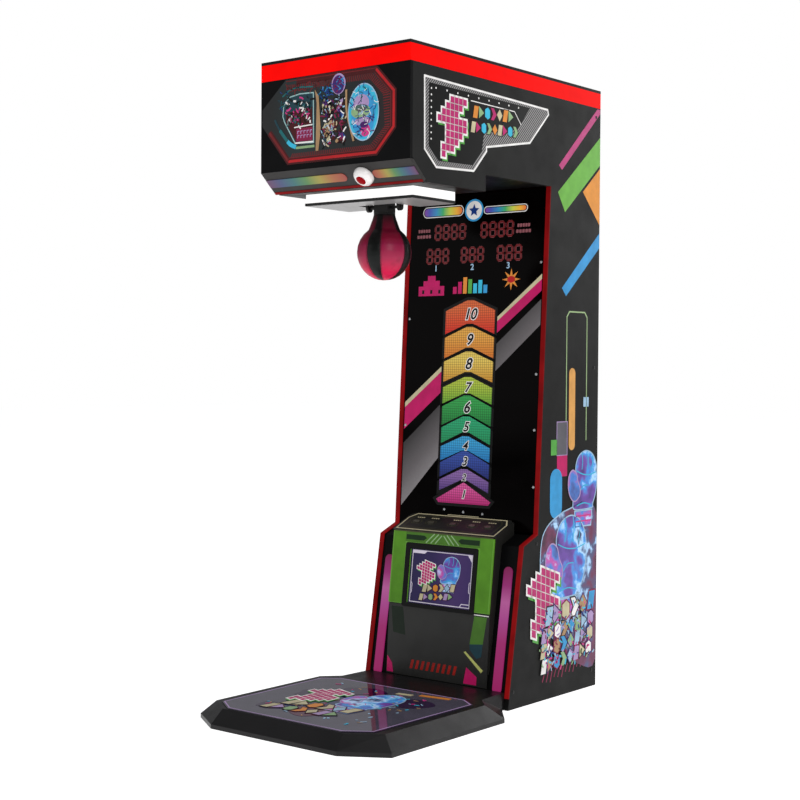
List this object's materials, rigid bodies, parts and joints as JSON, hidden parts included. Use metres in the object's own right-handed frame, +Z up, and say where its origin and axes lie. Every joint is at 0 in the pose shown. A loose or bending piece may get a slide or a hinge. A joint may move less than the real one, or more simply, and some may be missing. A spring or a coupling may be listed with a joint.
{
  "type": "boxing punch machine",
  "caption": "Upright boxing machine: C-shaped cabinet with lit head, swinging punch bag, score glass, small console and bevelled standing platform.",
  "frame": {"origin": "middle of the footprint on the floor, under the middle of the bounding box", "axes": "+Z up, +Y to the machine's back, the player stands at -Y, +X to the right seen from the player"},
  "size_m": [0.826, 1.405, 2.2],
  "materials": {
    "cabinet_board": "MDF board with satin near-black vinyl",
    "head_board": "MDF board with black gloss vinyl",
    "bare_board": "unpainted MDF",
    "red_light": "lit red diffuser",
    "red_trim": "lit dark red diffuser",
    "white_light": "lit white diffuser",
    "magenta_light": "lit magenta diffuser",
    "rainbow_light": "back-lit rainbow lens",
    "white_plastic": "moulded white ABS",
    "red_lens": "translucent red lens",
    "black_metal": "black powder coat",
    "zinc_steel": "zinc plated",
    "bag_leather": "crimson and black synthetic leather gores",
    "rubber": "matt black rubber",
    "score_glass": "back-printed black tempered glass",
    "marquee_acrylic": "back-lit printed acrylic",
    "deck_glass": "back-printed tempered glass",
    "console_plastic": "satin black powder coat",
    "console_green": "satin green print on black",
    "screen": "lit LCD screen",
    "button_plastic": "lit push button",
    "platform_paint": "dark grey textured powder coat",
    "circuit_board": "green circuit board",
    "black_plastic": "moulded black plastic"
  },
  "bodies": {
    "root": {"side_panel_left": "cabinet_board", "side_panel_right": "cabinet_board", "edge_light_left": "red_trim", "edge_light_right": "red_trim", "roof_panel": "cabinet_board", "roof_light_bar": "red_light", "base_board": "bare_board", "back_panel": "cabinet_board", "power_supply": "zinc_steel", "main_controller": "circuit_board", "door_hinge_fixed": "zinc_steel", "mains_inlet": "black_plastic", "head_front_panel": "head_board", "marquee_light_board": "circuit_board", "marquee_window": "marquee_acrylic", "chamfer_panel": "cabinet_board", "rainbow_lens_left": "rainbow_light", "rainbow_lens_right": "rainbow_light", "chamfer_light_strip": "red_trim", "beacon_housing": "white_plastic", "beacon_lens": "red_lens", "head_floor_panel": "head_board", "step_board": "head_board", "rear_soffit_panel": "head_board", "speaker": "black_plastic", "bag_stop_pad": "rubber", "strike_light_box": "white_light", "strike_plate": "black_metal", "arm_bearing_left": "zinc_steel", "arm_bearing_right": "zinc_steel", "strike_sensor": "black_plastic", "catch_solenoid": "zinc_steel", "score_glass": "score_glass", "display_board": "circuit_board", "lower_front_panel": "head_board", "side_light_left": "magenta_light", "side_light_right": "magenta_light", "console_body": "console_plastic", "console_top_panel": "console_plastic", "button_board": "circuit_board", "console_front_panel": "console_green", "console_screen": "screen", "console_lower_panel": "console_plastic", "platform_base": "platform_paint", "platform_glass": "deck_glass"},
    "swing": {"arm_shaft": "black_metal", "swing_arm": "black_metal", "sensor_vane": "zinc_steel", "bag_collar": "black_metal", "punch_bag": "bag_leather"},
    "plunger": {"catch_plunger": "zinc_steel"},
    "button_1": {"push_button_1": "button_plastic"},
    "button_2": {"push_button_2": "button_plastic"},
    "button_3": {"push_button_3": "button_plastic"},
    "button_4": {"push_button_4": "button_plastic"},
    "button_5": {"push_button_5": "button_plastic"},
    "door": {"rear_door": "cabinet_board", "door_hinge_moving": "zinc_steel"},
    "lock": {"door_lock": "zinc_steel"},
    "rocker": {"power_switch": "black_plastic"}
  },
  "joints": [
    {"name": "bag_swing", "type": "hinge", "parent": "root", "child": "swing", "pos_m": [0, -0.1595, 1.717], "axis": [1, 0, 0], "range_deg": [-15, 85]},
    {"name": "catch_slide", "type": "slide", "parent": "root", "child": "plunger", "axis": [0, 0, -1], "range_m": [0, 0.004], "stiffness_N_per_m": 400, "springref_m": -0.002},
    {"name": "button_1_press", "type": "slide", "parent": "root", "child": "button_1", "axis": [0, 0.3863, -0.9224], "range_m": [0, 0.0025], "stiffness_N_per_m": 400, "springref_m": -0.001},
    {"name": "button_2_press", "type": "slide", "parent": "root", "child": "button_2", "axis": [0, 0.3863, -0.9224], "range_m": [0, 0.0025], "stiffness_N_per_m": 400, "springref_m": -0.001},
    {"name": "button_3_press", "type": "slide", "parent": "root", "child": "button_3", "axis": [0, 0.3863, -0.9224], "range_m": [0, 0.0025], "stiffness_N_per_m": 400, "springref_m": -0.001},
    {"name": "button_4_press", "type": "slide", "parent": "root", "child": "button_4", "axis": [0, 0.3863, -0.9224], "range_m": [0, 0.0025], "stiffness_N_per_m": 400, "springref_m": -0.001},
    {"name": "button_5_press", "type": "slide", "parent": "root", "child": "button_5", "axis": [0, 0.3863, -0.9224], "range_m": [0, 0.0025], "stiffness_N_per_m": 400, "springref_m": -0.001},
    {"name": "door_swing", "type": "hinge", "parent": "root", "child": "door", "pos_m": [-0.245, 0.6985, 0.9], "axis": [0, 0, 1], "range_deg": [0, 110]},
    {"name": "lock_turn", "type": "hinge", "parent": "door", "child": "lock", "pos_m": [0.215, 0.6945, 0.9], "axis": [0, -1, 0], "range_deg": [0, 90]},
    {"name": "rocker_tip", "type": "hinge", "parent": "root", "child": "rocker", "pos_m": [-0.2, 0.6925, 0.1455], "axis": [1, 0, 0], "range_deg": [0, 14]}
  ]
}
